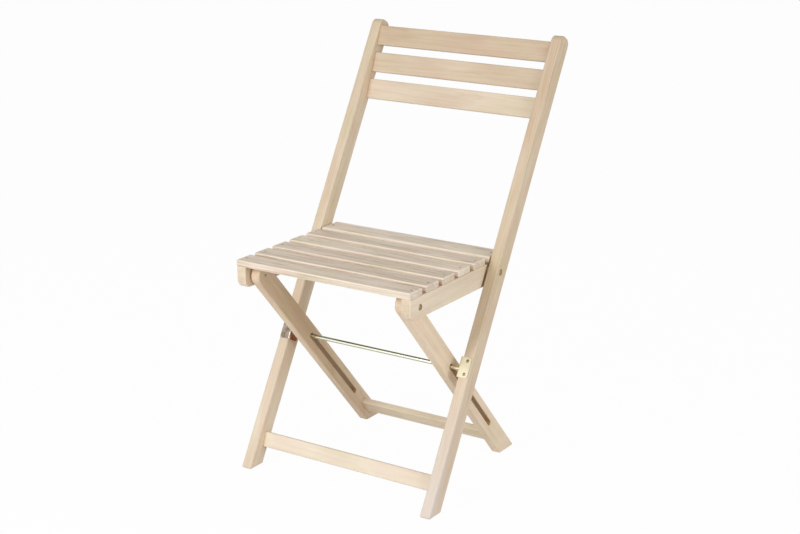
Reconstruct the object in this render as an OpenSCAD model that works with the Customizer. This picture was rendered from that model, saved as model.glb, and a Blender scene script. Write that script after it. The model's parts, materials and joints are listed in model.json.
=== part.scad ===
// Folding garden chair in pale wood. Two long leaning posts carry the back slats. A
// slatted seat is hinged on the posts, and a pair of slotted legs hangs from the seat's
// front and slides on a steel rod between the posts, so that the chair folds flat.
// Millimetres. X across, front towards -Y, Z up, origin on the ground at the box centre.

/* [Posts] */
// Width over the outsides of the two posts
overall_w = 440; // [360:1:520]
// Post thickness across the chair
post_t = 22; // [18:0.5:30]
// Post depth, front face to rear face
post_d = 36; // [34:0.5:48]
// Length of the post along its front face
post_len = 960; // [880:1:1050]
// Lean of the posts from upright, in degrees
lean = 29.65; // [27:0.05:32]
// Radius on the two upper corners of a post
post_top_r = 14; // [6:0.5:15]

/* [Back slats] */
// Width of a back slat
back_slat_w = 40.5; // [30:0.5:46]
// Thickness of a back slat
back_slat_t = 11; // [9:0.5:12]
// Spacing of the back slats
back_pitch = 56; // [50:0.5:60]
// Distance of the lowest back slat's middle from the ground, along the post
back_low = 814; // [805:1:820]
// How much more upright the flat bars stand than the posts and legs, in degrees
bar_tilt = 8; // [0:0.5:10]
// Depth of the middle back slat behind the post's front face
back_depth = 19.5; // [17:0.5:20]

/* [Stretchers] */
// Width of both stretchers
stretcher_w = 30; // [22:0.5:36]
// Thickness of both stretchers
stretcher_t = 13; // [11:0.5:15]
// Distance of the front stretcher's middle from the ground, along the post
front_bar_s = 68; // [60:1:120]
// Depth of the front stretcher's middle behind the post's front face
front_bar_depth = 23; // [16:0.5:24]
// Distance of the rear stretcher's middle below the leg pivot, along the leg
rear_bar_drop = 491; // [480:1:505]

/* [Seat] */
// Height of the seat's top above the ground
seat_h = 440; // [420:1:460]
// Distance from the seat pivot forward to the seat's front edge
seat_reach = 275; // [265:1:300]
// Depth of the seat pivot behind the front face of the posts
seat_pin_q = 13; // [12:0.5:20]
// Width of a seat slat
seat_slat_w = 42; // [36:0.5:48]
// Width of the rearmost seat slat
rear_slat_w = 52; // [42:0.5:54]
// Thickness of a seat slat
seat_slat_t = 13; // [10:0.5:16]
// Spacing of the seat slats
seat_pitch = 54.7; // [52:0.1:56]
// Height of the seat rails
rail_h = 42; // [41.5:0.5:46]
// Thickness of the seat rails
rail_t = 20; // [16:0.5:22]
// Radius on the lower corners of the rail ends
rail_end_r = 16; // [6:0.5:18]
// Set-back of the rail's front end behind the front slat's edge
rail_setback = 1; // [0:0.5:6]
// Height of the seat pivot above the rail's lower edge
rear_pin_h = 28; // [24:0.5:30]

/* [Legs] */
// Width of a leg
leg_w = 40; // [36:0.5:41]
// Thickness of a leg across the chair
leg_t = 20; // [16:0.5:22]
// Level distance between the seat pivot and the leg pivot
leg_pin_reach = 241; // [235:0.5:248]
// Height of the leg pivot above the rail's lower edge
leg_pin_h = 21; // [19:0.5:21.5]

/* [Rod and brackets] */
// Diameter of the guide rod
rod_d = 8; // [6:0.5:10]
// Distance of the guide rod from the ground, along the post
rod_s = 288; // [280:1:296]
// Depth of the guide rod behind the front face of the posts
rod_q = 11; // [9:0.5:18]
// How far the rod enters each post
rod_bite = 12; // [6:0.5:16]
// Sheet thickness of the rod brackets
bracket_t = 2; // [1.2:0.1:2.4]
// Height of the rod brackets along the post
bracket_h = 40; // [36:1:56]
// How far the middle of a bracket stands above the rod, along the post
bracket_up = 2.5; // [0:0.5:6]
// Inside radius of the bracket's bend, which holds its flange clear of the post
bracket_bend = 2; // [0.5:0.5:3]
// Width of the bracket's plate on the post's front face
bracket_w = 20; // [16:0.5:21]
// Depth of the bracket's flange along the post's inner face
bracket_flange = 24; // [20:0.5:34]
// Radius on the free corners of the bracket
bracket_r = 4; // [1:0.5:6]
// Spacing of the two screws in each bracket
screw_pitch = 26; // [20:1:28]
// Shank diameter of the bracket screws
screw_d = 3; // [2:0.25:3.5]
// Head diameter of the bracket screws
screw_head_d = 6.4; // [5:0.2:7]
// Length of the bracket screws under the head
screw_len = 20; // [12:1:28]

/* [Pins and nails] */
// Diameter of the pivot pins
pin_d = 6; // [5:0.5:7]
// Diameter of the pin heads
pin_head_d = 8; // [7.6:0.2:10]
// Thickness of the pin heads
pin_head_t = 2; // [1.6:0.1:3]
// Diameter of the counterbores that hide the pin heads
counterbore_d = 12; // [10.2:0.1:13]
// Diameter of the riveted far ends of the pins
rivet_d = 7.4; // [7.2:0.1:9]
// Height of the riveted far ends of the pins
rivet_t = 1.1; // [0.8:0.1:1.4]
// Outside diameter of the pivot washers
washer_d = 18; // [14:0.5:20]
// Shank diameter of the slat nails
nail_d = 2.2; // [1.6:0.1:3]
// Head diameter of the slat nails
nail_head_d = 5; // [4:0.1:6]

/* [Gaps and edges] */
// Gap between post and seat rail
rail_gap = 3; // [2.6:0.1:5]
// Gap between seat rail and leg
leg_gap = 2.5; // [2.3:0.1:4]
// Radius of the eased edges of the wood
ease = 2.5; // [1:0.25:3.5]
// Radius on the sole corners of posts and legs
sole_r = 3; // [1:0.5:6]
// Running clearance round pins and rod
fit = 0.06; // [0.03:0.01:0.1]
// Clearance of tenons in their mortises
joint_fit = 0.1; // [0.05:0.05:0.3]
// Clearance of the rod in the leg slots
slot_fit = 0.3; // [0.25:0.05:0.5]
// Length of the slat and stretcher tenons
tenon = 10; // [6:0.5:14]

/* [Hidden] */
$fn = 48;
wood = [0.89, 0.81, 0.70];
wood_shade = [0.84, 0.75, 0.63];
zinc = [0.85, 0.81, 0.62];
steel = [0.62, 0.60, 0.56];

back_slats = 3;
seat_slats = 6;
washer_play = 0.1;
head_sink = 2;
screw_inset = 7.5;
nail_sink = 0.4;
nail_head_t = 1.2;
nail_gap = 1.5;
shut_gap = 0.6;
rail_rear_setback = 3;
small_r = 2.5;

// Places across the chair, measured out from its middle
post_in = overall_w / 2 - post_t;
rail_out = post_in - rail_gap;
rail_in = rail_out - rail_t;
leg_out = rail_in - leg_gap;
leg_in = leg_out - leg_t;

// Heights of the seat and its pivots
rail_top = seat_h - seat_slat_t;
rail_low = rail_top - rail_h;
seat_pin_z = rail_low + rear_pin_h;
leg_pin_z = rail_low + leg_pin_h;
seat_pin_s = (seat_pin_z + seat_pin_q * sin(lean)) / cos(lean);

// Nails stop short of the seat pivot under them
nail_len = seat_slat_t + rail_h - rear_pin_h - pin_d / 2 - nail_gap;

// Places on the posts: s runs up the front face from the ground, q is the depth behind it.
// foot_y puts the origin at the middle of the chair's box.
function along(s, q) = [s * sin(lean) + q * cos(lean), s * cos(lean) - q * sin(lean)];
front_y = along(seat_pin_s, seat_pin_q)[0] - seat_reach;
back_y = along(post_len - post_top_r, post_d - post_top_r)[0] + post_top_r;
foot_y = -(min(front_y, 0) + back_y) / 2;
function on_post(s, q) = [foot_y, 0] + along(s, q);

// Pivots in the side view, as [y, z]
seat_pin = on_post(seat_pin_s, seat_pin_q);
rod_at = on_post(rod_s, rod_q);
leg_pin = [seat_pin[0] - leg_pin_reach, leg_pin_z];
bracket_s = rod_s + bracket_up;

// The linkage is the triangle of the seat pivot, the leg pivot and the rod. Its leg side
// changes its length as the chair folds, because the rod slides in the leg's slot.
seat_arm = norm(leg_pin - seat_pin);
post_arm = norm(seat_pin - rod_at);
leg_arm = norm(leg_pin - rod_at);
leg_lean = atan2(rod_at[0] - leg_pin[0], leg_pin[1] - rod_at[1]);
open_seat = 180 - acos((seat_arm ^ 2 + post_arm ^ 2 - leg_arm ^ 2) / (2 * seat_arm * post_arm));
open_leg = acos((leg_arm ^ 2 + post_arm ^ 2 - seat_arm ^ 2) / (2 * leg_arm * post_arm));

// Folded flat, the legs come up to the underside of the rear slat
rear_y = seat_reach - (seat_slats - 1) * seat_pitch - rear_slat_w;
leg_to_rear = leg_pin_reach - rear_y;
under_slat = rail_h - leg_pin_h - leg_to_rear * (rear_pin_h - leg_pin_h) / leg_pin_reach;
shut_leg = atan(max(leg_w / 2 + shut_gap - under_slat, 0) / leg_to_rear);
shut_seat = shut_leg * (seat_arm + post_arm) / post_arm;
shut_leg_turn = atan2(seat_arm * sin(shut_seat), post_arm + seat_arm * cos(shut_seat));
fold_seat = open_seat - shut_seat;
fold_leg = open_leg - shut_leg_turn;

// The rod's path in the leg, as [depth, height] from the leg pivot, while the leg turns in
// a fixed ratio to the seat
function spin(v, a) = [v[0] * cos(a) - v[1] * sin(a), v[0] * sin(a) + v[1] * cos(a)];
function rod_in_leg(t) =
    spin(rod_at - seat_pin - spin(leg_pin - seat_pin, -t * fold_seat), t * fold_leg - leg_lean);
path_steps = 24;
rod_path = [for (i = [0:path_steps]) rod_in_leg(i / path_steps)];
slot_half = rod_d / 2 + slot_fit;
function path_way(i) =
    let (step = rod_path[min(i + 1, path_steps)] - rod_path[max(i - 1, 0)]) step / norm(step);
slot_front = [for (i = [0:path_steps]) rod_path[i] + slot_half * spin(path_way(i), -90)];
slot_rear = [rod_path[path_steps] + [slot_half, 0], rod_path[0] + [slot_half, 0]];

// Stands a side view, drawn as [y, z], upright between two places across the chair
module side(x0, x1) {
    translate([x0, 0, 0]) rotate([90, 0, 90]) linear_extrude(x1 - x0) children();
}

// The post's own frame: y is the depth behind the front face, z runs up the post
module post_frame() {
    translate([0, foot_y, 0]) rotate([-lean, 0, 0]) children();
}

// The leg's own frame: origin on the leg pivot, y towards the rear edge, z up the leg
module leg_frame() {
    translate([0, leg_pin[0], leg_pin[1]]) rotate([leg_lean, 0, 0]) children();
}

// A rectangle round the origin with four round corners
module eased(a, b, r) {
    square([a - 2 * r, b], center = true);
    square([a, b - 2 * r], center = true);
    for (x = [-1, 1], y = [-1, 1])
        translate([x * (a / 2 - r), y * (b / 2 - r)]) circle(r);
}

// A block round the origin with all its edges eased
module eased_block(size, r) {
    intersection() {
        translate([0, 0, -size[2] / 2]) linear_extrude(size[2]) eased(size[0], size[1], r);
        side(-size[0] / 2, size[0] / 2) eased(size[1], size[2], r);
        translate([0, size[1] / 2, 0]) rotate([90, 0, 0])
            linear_extrude(size[1]) eased(size[0], size[2], r);
    }
}

// A convex outline whose corners each have their own radius
function unit(v) = v / norm(v);
function corner_half(p, i) =
    let (n = len(p)) acos(unit(p[(i + n - 1) % n] - p[i]) * unit(p[(i + 1) % n] - p[i])) / 2;
function corner_centre(p, i, r) =
    let (n = len(p), way = unit(p[(i + n - 1) % n] - p[i]) + unit(p[(i + 1) % n] - p[i]))
    p[i] + unit(way) * r / sin(corner_half(p, i));
module rounded(p, radii) {
    n = len(p);
    polygon([for (i = [0:n - 1], next = [n - 1, 1])
        p[i] + unit(p[(i + next) % n] - p[i]) * radii[i] / tan(corner_half(p, i))]);
    for (i = [0:n - 1])
        translate(corner_centre(p, i, radii[i])) circle(radii[i]);
}

module rod_along_x(d, x0, x1) {
    translate([x0, 0, 0]) rotate([0, 90, 0]) cylinder(d = d, h = x1 - x0);
}

// Puts a turned piece on side s of the chair at place x, its axis running inwards
module inwards(s, x) {
    translate([s * x, 0, 0]) rotate([0, -s * 90, 0]) children();
}

// Half the outline of a low dome, standing on the x axis and open towards the y axis
module half_dome(d, h) {
    r = (d ^ 2 / 4 + h ^ 2) / (2 * h);
    intersection() {
        square([d / 2, h]);
        translate([0, h - r]) circle(r, $fn = 96);
    }
}

// A pivot pin: a domed head let into the wood face at x_face, a shank, and a far end
// riveted over into a low dome at x_end
module pivot_pin(s, x_face, x_end) {
    long = x_face - head_sink - pin_head_t - x_end;
    inwards(s, x_face - head_sink - pin_head_t) rotate_extrude() {
        mirror([0, 1]) half_dome(pin_head_d, pin_head_t);
        square([pin_d / 2, long]);
        translate([0, long]) half_dome(rivet_d, rivet_t);
    }
}

// The counterbored hole for that pin
module pivot_hole(s, x_face, deep) {
    inwards(s, x_face + 1) {
        cylinder(d = pin_d + 2 * fit, h = deep + 1);
        cylinder(d = counterbore_d, h = 1 + head_sink + pin_head_t);
    }
}

// The own frames of the flat bars, with z up their width and y through them
module at_back_slat(i) {
    middle = (back_slats - 1) / 2;
    centre = [back_depth, back_low + middle * back_pitch * cos(bar_tilt)];
    at = centre + (i - middle) * back_pitch * [-sin(bar_tilt), cos(bar_tilt)];
    post_frame() translate([0, at[0], at[1]]) rotate([bar_tilt, 0, 0]) children();
}

module at_front_bar() {
    post_frame() translate([0, front_bar_depth, front_bar_s]) rotate([bar_tilt, 0, 0]) children();
}

module at_rear_bar() {
    leg_frame() translate([0, 0, -rear_bar_drop]) rotate([-bar_tilt, 0, 0]) children();
}

// A flat bar between two faces, with a tenon on each end
module tenoned_bar(w, t, face_x) {
    side(-face_x, face_x) eased(t, w, ease);
    side(-face_x - tenon, face_x + tenon) square([t - 2 * ease, w - 3 * ease], center = true);
}

// The blind mortises that take those tenons
module mortises(w, t, face_x) {
    deep = tenon + joint_fit;
    for (x = [-face_x - deep, face_x])
        side(x, x + deep) square([t - 2 * ease + 2 * joint_fit, w - 3 * ease + 2 * joint_fit], center = true);
}

module post(s) {
    x_mid = s * (post_in + post_t / 2);
    difference() {
        intersection() {
            post_frame() translate([x_mid, post_d / 2, 0])
                linear_extrude(post_len) eased(post_t, post_d, ease);
            post_frame() side(x_mid - post_t, x_mid + post_t)
                rounded([[0, 0], [post_d, post_d * tan(lean)], [post_d, post_len], [0, post_len]],
                    [sole_r, sole_r, post_top_r, post_top_r]);
        }
        for (i = [0:back_slats - 1])
            at_back_slat(i) mortises(back_slat_w, back_slat_t, post_in);
        at_front_bar() mortises(stretcher_w, stretcher_t, post_in);
        translate([0, seat_pin[0], seat_pin[1]]) pivot_hole(s, overall_w / 2, post_t + 1);
        translate([0, rod_at[0], rod_at[1]])
            inwards(s, post_in + rod_bite + fit) cylinder(d = rod_d + 2 * fit, h = rod_bite + 1);
        at_bracket_screws(s) screw_hole();
    }
}

// The screws stand square on the post's front face, one near each end of the plate
module at_bracket_screws(s) {
    for (k = [-0.5, 0.5])
        post_frame()
            translate([s * (post_in + bracket_w - screw_inset), -bracket_t, bracket_s + k * screw_pitch])
                rotate([-90, 0, 0]) children();
}

module screw_hole() {
    cylinder(d = screw_d + 2 * fit, h = screw_len + fit);
}

// A round-headed screw
module bracket_screw() {
    cylinder(d = screw_d, h = screw_len);
    rotate_extrude() mirror([0, 1]) half_dome(screw_head_d, screw_head_d / 4);
}

// An angle bracket round the post's front inner corner: a plate on the front face, and a
// flange beside the inner face with the hole that holds the rod
module rod_bracket(s) {
    bend_out = bracket_bend + bracket_t;
    over = bend_out + bracket_r;
    difference() {
        intersection() {
            post_frame() mirror([s > 0 ? 0 : 1, 0, 0])
                translate([post_in, 0, bracket_s - bracket_h / 2])
                    linear_extrude(bracket_h) bracket_section();
            post_frame() translate([0, 0, bracket_s]) {
                translate([s * (post_in + (bracket_w - over) / 2), 1, 0]) rotate([90, 0, 0])
                    linear_extrude(bracket_t + 2) eased(bracket_w + over, bracket_h, bracket_r);
                side(s * post_in - bend_out - 1, s * post_in + bend_out + 1)
                    translate([(bracket_flange - over) / 2, 0])
                        eased(bracket_flange + over, bracket_h, bracket_r);
            }
        }
        translate([0, rod_at[0], rod_at[1]])
            inwards(s, post_in + 1) cylinder(d = rod_d + 2 * fit, h = bend_out + 2);
        at_bracket_screws(s) translate([0, 0, -1]) screw_hole();
    }
}

// The bent sheet seen along the post, with the post's inner front corner on the origin
module bracket_section() {
    bend_out = bracket_bend + bracket_t;
    translate([0, -bracket_t]) square([bracket_w, bracket_t]);
    translate([-bend_out, bracket_bend]) square([bracket_t, bracket_flange - bracket_bend]);
    intersection() {
        translate([0, bracket_bend]) difference() {
            circle(bend_out);
            circle(bracket_bend);
        }
        translate([-bend_out, -bracket_t]) square(bend_out);
    }
}

module guide_rod_bar() {
    end_bevel = 0.8;
    long = 2 * (post_in + rod_bite);
    translate([0, rod_at[0], rod_at[1]]) inwards(1, post_in + rod_bite) rotate_extrude()
        polygon([
            [0, 0], [rod_d / 2 - end_bevel, 0], [rod_d / 2, end_bevel],
            [rod_d / 2, long - end_bevel], [rod_d / 2 - end_bevel, long], [0, long]
        ]);
}

module seat_rail(s) {
    y0 = seat_pin[0] - seat_reach + rail_setback;
    y1 = seat_pin[0] - rear_y - rail_rear_setback;
    x0 = min(s * rail_in, s * rail_out);
    difference() {
        intersection() {
            side(x0, x0 + rail_t)
                rounded([[y0, rail_low], [y1, rail_low], [y1, rail_top], [y0, rail_top]],
                    [rail_end_r, rail_end_r, small_r, small_r]);
            translate([x0 + rail_t / 2, y1, rail_low + rail_h / 2]) rotate([90, 0, 0])
                linear_extrude(y1 - y0) eased(rail_t, rail_h, ease);
        }
        translate([0, seat_pin[0], seat_pin[1]])
            rod_along_x(pin_d + 2 * fit, x0 - 1, x0 + rail_t + 1);
        translate([0, leg_pin[0], leg_pin[1]]) pivot_hole(s, rail_out, rail_t + 1);
        nail_places() nail_hole();
    }
}

function slat_w(i) = i == seat_slats - 1 ? rear_slat_w : seat_slat_w;
function slat_mid(i) = seat_pin[0] - seat_reach + i * seat_pitch + slat_w(i) / 2;

module seat_slat(i) {
    difference() {
        translate([0, slat_mid(i), rail_top + seat_slat_t / 2])
            eased_block([2 * rail_out, slat_w(i), seat_slat_t], ease);
        nail_places() nail_hole();
    }
}

// One nail through each end of each slat into the rail under it
module nail_places() {
    for (i = [0:seat_slats - 1], s = [-1, 1])
        translate([s * (rail_in + rail_t / 2), slat_mid(i), seat_h - nail_sink])
            children();
}

module nail() {
    translate([0, 0, -nail_len]) cylinder(d = nail_d, h = nail_len);
    translate([0, 0, -nail_head_t]) cylinder(d = nail_head_d, h = nail_head_t);
}

module nail_hole() {
    translate([0, 0, -nail_len - fit]) cylinder(d = nail_d + 2 * fit, h = nail_len);
    translate([0, 0, -nail_head_t]) cylinder(d = nail_head_d + 2 * fit, h = nail_head_t + nail_sink + 1);
}

module leg(s) {
    x0 = min(s * leg_in, s * leg_out);
    sole = [for (a = [-leg_w / 2, leg_w / 2]) [a, -(leg_pin[1] + a * sin(leg_lean)) / cos(leg_lean)]];
    difference() {
        leg_frame() intersection() {
            side(x0, x0 + leg_t)
                rounded([sole[0], sole[1], [leg_w / 2, leg_w / 2], [-leg_w / 2, leg_w / 2]],
                    [sole_r, sole_r, leg_w / 2, leg_w / 2]);
            translate([x0 + leg_t / 2, 0, sole[1][1]])
                linear_extrude(leg_w - sole[1][1]) eased(leg_t, leg_w, ease);
        }
        leg_frame() side(x0 - 1, x0 + leg_t + 1) slot();
        leg_frame() rod_along_x(pin_d + 2 * fit, x0 - 1, x0 + leg_t + 1);
        at_rear_bar() mortises(stretcher_w, stretcher_t, leg_in);
    }
}

// The slot seats the rod at both ends of its travel, and its front wall clears the rod's
// path in between
module slot() {
    polygon(concat(slot_front, slot_rear));
    for (i = [0, path_steps])
        translate(rod_path[i]) circle(slot_half);
}

module washer(x0, x1) {
    translate([min(x0, x1), 0, 0]) rotate([0, 90, 0]) difference() {
        cylinder(d = washer_d, h = abs(x1 - x0));
        translate([0, 0, -1]) cylinder(d = pin_d + 2 * fit, h = abs(x1 - x0) + 2);
    }
}

module left_post() { color(wood) post(-1); }
module right_post() { color(wood) post(1); }
module back_slat_bottom() { color(wood) at_back_slat(0) tenoned_bar(back_slat_w, back_slat_t, post_in); }
module back_slat_middle() { color(wood) at_back_slat(1) tenoned_bar(back_slat_w, back_slat_t, post_in); }
module back_slat_top() { color(wood) at_back_slat(2) tenoned_bar(back_slat_w, back_slat_t, post_in); }
module front_stretcher() { color(wood) at_front_bar() tenoned_bar(stretcher_w, stretcher_t, post_in); }
module left_rod_bracket() { color(zinc) rod_bracket(-1); }
module right_rod_bracket() { color(zinc) rod_bracket(1); }
module guide_rod() { color(zinc) guide_rod_bar(); }

module bracket_screws() {
    color(steel) for (s = [-1, 1]) at_bracket_screws(s) bracket_screw();
}

module seat_pivot_pins() {
    color(steel) translate([0, seat_pin[0], seat_pin[1]])
        for (s = [-1, 1]) pivot_pin(s, overall_w / 2, rail_in - washer_play);
}

module seat_pivot_washers() {
    color(steel) translate([0, seat_pin[0], seat_pin[1]])
        for (s = [-1, 1]) washer(s * (rail_out + washer_play), s * (post_in - washer_play));
}

module left_seat_rail() { color(wood_shade) seat_rail(-1); }
module right_seat_rail() { color(wood_shade) seat_rail(1); }
module seat_slat_1() { color(wood) seat_slat(0); }
module seat_slat_2() { color(wood) seat_slat(1); }
module seat_slat_3() { color(wood) seat_slat(2); }
module seat_slat_4() { color(wood) seat_slat(3); }
module seat_slat_5() { color(wood) seat_slat(4); }
module seat_slat_6() { color(wood) seat_slat(5); }
module slat_nails() { color(steel) nail_places() nail(); }

module leg_pivot_pins() {
    color(steel) translate([0, leg_pin[0], leg_pin[1]])
        for (s = [-1, 1]) pivot_pin(s, rail_out, leg_in - washer_play);
}

module leg_pivot_washers() {
    color(steel) translate([0, leg_pin[0], leg_pin[1]])
        for (s = [-1, 1]) washer(s * (leg_out + washer_play), s * (rail_in - washer_play));
}

module left_leg() { color(wood_shade) leg(-1); }
module right_leg() { color(wood_shade) leg(1); }
module rear_stretcher() { color(wood) at_rear_bar() tenoned_bar(stretcher_w, stretcher_t, leg_in); }

left_post();
right_post();
back_slat_bottom();
back_slat_middle();
back_slat_top();
front_stretcher();
left_rod_bracket();
right_rod_bracket();
bracket_screws();
guide_rod();
seat_pivot_pins();
seat_pivot_washers();
left_seat_rail();
right_seat_rail();
seat_slat_1();
seat_slat_2();
seat_slat_3();
seat_slat_4();
seat_slat_5();
seat_slat_6();
slat_nails();
leg_pivot_pins();
leg_pivot_washers();
left_leg();
right_leg();
rear_stretcher();
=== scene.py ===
import json
import math
import random

import bmesh
import bpy
from mathutils import Euler, Matrix, Vector


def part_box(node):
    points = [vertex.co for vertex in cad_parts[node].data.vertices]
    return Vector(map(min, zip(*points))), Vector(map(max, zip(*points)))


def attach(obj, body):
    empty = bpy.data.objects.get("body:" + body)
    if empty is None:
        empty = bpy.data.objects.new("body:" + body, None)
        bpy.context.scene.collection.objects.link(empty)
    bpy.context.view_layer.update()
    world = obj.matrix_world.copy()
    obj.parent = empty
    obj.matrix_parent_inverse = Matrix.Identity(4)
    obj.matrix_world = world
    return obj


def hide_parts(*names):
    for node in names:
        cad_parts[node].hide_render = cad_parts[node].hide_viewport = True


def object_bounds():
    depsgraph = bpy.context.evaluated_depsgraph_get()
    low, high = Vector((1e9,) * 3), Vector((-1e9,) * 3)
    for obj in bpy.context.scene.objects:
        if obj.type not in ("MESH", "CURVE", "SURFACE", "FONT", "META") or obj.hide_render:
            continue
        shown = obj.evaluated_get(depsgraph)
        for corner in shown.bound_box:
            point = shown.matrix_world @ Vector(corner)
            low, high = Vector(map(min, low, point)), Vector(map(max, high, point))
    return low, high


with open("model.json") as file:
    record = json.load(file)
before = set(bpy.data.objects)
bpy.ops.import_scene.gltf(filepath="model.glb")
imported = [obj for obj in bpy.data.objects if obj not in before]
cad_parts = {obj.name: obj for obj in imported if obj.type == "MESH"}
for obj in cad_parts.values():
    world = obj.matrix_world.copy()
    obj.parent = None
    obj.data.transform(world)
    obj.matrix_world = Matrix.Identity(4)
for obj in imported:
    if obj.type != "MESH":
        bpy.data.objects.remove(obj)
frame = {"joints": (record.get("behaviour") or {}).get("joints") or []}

cad_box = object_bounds()
scene = bpy.context.scene
mm = 0.001

# The camera stands 1.3 m above the ground, to the right of the chair and well in front of
# it, and looks slightly down. Its place is measured from the middle of the chair's box on
# the ground, and its angles are in degrees.
look_down = 16.834
look_left = 33.456
roll = -0.152
lens_camera = bpy.data.cameras.new("camera")
lens_camera.sensor_fit = "HORIZONTAL"
lens_camera.sensor_width = 36
lens_camera.lens = 73.58
camera = bpy.data.objects.new("camera", lens_camera)
camera.location = (1.687, -2.5522, 1.3162)
aim = Euler((math.radians(90 - look_down), 0, math.radians(look_left))).to_matrix()
camera.rotation_euler = (aim @ Matrix.Rotation(math.radians(roll), 3, "Z")).to_euler()
scene.collection.objects.link(camera)
scene.camera = camera


# The studio: a seamless white floor that keeps the chair's faint shadow, and a pale room
# around it that is brighter near the horizon. The camera and shiny metal see pure white.
class Wire:
    """A shader socket that adds and multiplies like a number, so a pattern reads as a formula."""

    def __init__(self, tree, socket=None):
        self.tree = tree
        self.socket = socket

    def node(self, kind, settings=None, sockets=None, out=0):
        """A new node: its settings first, then the values or wires of its sockets."""
        made = self.tree.nodes.new(kind)
        for name, value in (settings or {}).items():
            setattr(made, name, value)
        for name, value in (sockets or {}).items():
            if isinstance(value, Wire):
                self.tree.links.new(value.socket, made.inputs[name])
            else:
                made.inputs[name].default_value = value
        return Wire(self.tree, made.outputs[out] if made.outputs else None)

    def maths(self, operation, *values, clamp=False):
        settings = {"operation": operation, "use_clamp": clamp}
        return self.node("ShaderNodeMath", settings, dict(enumerate(values)))

    def __add__(self, other):
        return self.maths("ADD", self, other)

    def __sub__(self, other):
        return self.maths("SUBTRACT", self, other)

    def __mul__(self, other):
        return self.maths("MULTIPLY", self, other)

    def __truediv__(self, other):
        return self.maths("DIVIDE", self, other)

    def __pow__(self, other):
        return self.maths("POWER", self, other)

    def __radd__(self, other):
        return self.maths("ADD", other, self)

    def __rsub__(self, other):
        return self.maths("SUBTRACT", other, self)

    __rmul__ = __mul__

    def smooth(self, low, high):
        """0 below low, 1 above high, with a soft change between them."""
        sockets = {"Value": self, "From Min": low, "From Max": high}
        return self.node("ShaderNodeMapRange", {"interpolation_type": "SMOOTHSTEP"}, sockets)

    def unsigned(self):
        """The value without its sign."""
        return self.maths("ABSOLUTE", self)

    def blend(self, first, second, mode="MIX"):
        """Mixes two colours by this factor."""
        settings = {"data_type": "RGBA", "blend_type": mode}
        return self.node("ShaderNodeMix", settings, {0: self, 6: first, 7: second}, out=2)

    def scaled(self, x, y, z):
        """The same vector with each axis stretched by a factor of its own."""
        return self.node("ShaderNodeVectorMath", {"operation": "MULTIPLY"}, {0: self, 1: (x, y, z)})

    def part(self, axis):
        """One of the vector's three parts, 0 to 2."""
        return self.node("ShaderNodeSeparateXYZ", None, {0: self}, out=axis)

    def noise(self, scale, detail=2.0, roughness=0.5, distortion=0.0):
        """A cloudy pattern over this vector, with so many clouds to the metre."""
        sockets = {"Vector": self, "Scale": scale, "Detail": detail, "Roughness": roughness,
                   "Distortion": distortion}
        return self.node("ShaderNodeTexNoise", None, sockets)


def colour(red, green, blue):
    """A colour written as it looks on a screen, 0 to 255, as a shader takes it."""
    darkest_curved = 10 / 255
    levels = [level / 255 for level in (red, green, blue)]
    straight = [((c + 0.055) / 1.055) ** 2.4 if c > darkest_curved else c / 12.92 for c in levels]
    return (*straight, 1)


def new_material(name):
    """An empty material, and the wire that its nodes start from."""
    material = bpy.data.materials.new(name)
    material.use_nodes = True
    material.node_tree.nodes.clear()
    return material, Wire(material.node_tree)


def in_view(pen):
    """1 for what the camera or a shiny surface sees, 0 for the light that falls on the chair."""
    seen = pen.node("ShaderNodeLightPath", out="Is Camera Ray")
    mirrored = pen.node("ShaderNodeLightPath", out="Is Glossy Ray")
    passed = pen.node("ShaderNodeLightPath", out="Is Transmission Ray")
    return seen.maths("MAXIMUM", seen, seen.maths("MAXIMUM", mirrored, passed))


glow_share = 0.965
floor_half = 30.0
floor_gap = 0.2 * mm
floor_white, pen = new_material("studio_floor")
paper = pen.node("ShaderNodeBsdfDiffuse", None, {"Color": (0.95, 0.95, 0.95, 1)})
dim_paper = pen.node("ShaderNodeBsdfDiffuse", None, {"Color": (0.75, 0.75, 0.75, 1)})
glow = pen.node("ShaderNodeEmission", None, {"Color": (1, 1, 1, 1), "Strength": 1.0})
bright = pen.node("ShaderNodeMixShader", None, {0: glow_share, 1: paper, 2: glow})
surface = pen.node("ShaderNodeMixShader", None, {0: in_view(pen), 1: dim_paper, 2: bright})
pen.node("ShaderNodeOutputMaterial", None, {"Surface": surface})

floor_mesh = bpy.data.meshes.new("studio_floor")
floor_mesh.from_pydata([(-floor_half, -floor_half, 0), (floor_half, -floor_half, 0),
                        (floor_half, floor_half, 0), (-floor_half, floor_half, 0)], [], [(0, 1, 2, 3)])
floor_mesh.materials.append(floor_white)
floor = bpy.data.objects.new("studio_floor", floor_mesh)
floor.location.z = cad_box[0][2] - floor_gap
scene.collection.objects.link(floor)

room = bpy.data.worlds.new("studio_room")
room.use_nodes = True
room.node_tree.nodes.clear()
pen = Wire(room.node_tree)
height = pen.node("ShaderNodeTexCoord", out="Generated").part(2)
room_light = 0.60 - height.smooth(0.1, 0.9) * 0.2
sky_light = room_light + in_view(pen) * (1 - room_light)
sky = pen.node("ShaderNodeBackground", None, {"Color": (1, 1, 1, 1), "Strength": sky_light})
pen.node("ShaderNodeOutputWorld", None, {"Surface": sky})
scene.world = room
scene.view_settings.view_transform = "Standard"


# Two large square soft boxes light the chair: one in front of it, and one beside it that
# brings out the wood's grain on the faces at its right.
def soft_box(name, place, target, width, power):
    """A square lamp of this width, in metres, that faces its target."""
    lamp = bpy.data.lights.new(name, "AREA")
    lamp.size = width
    lamp.energy = power
    box = bpy.data.objects.new(name, lamp)
    box.location = place
    box.rotation_euler = (Vector(target) - Vector(place)).to_track_quat("-Z", "Y").to_euler()
    scene.collection.objects.link(box)


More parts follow.
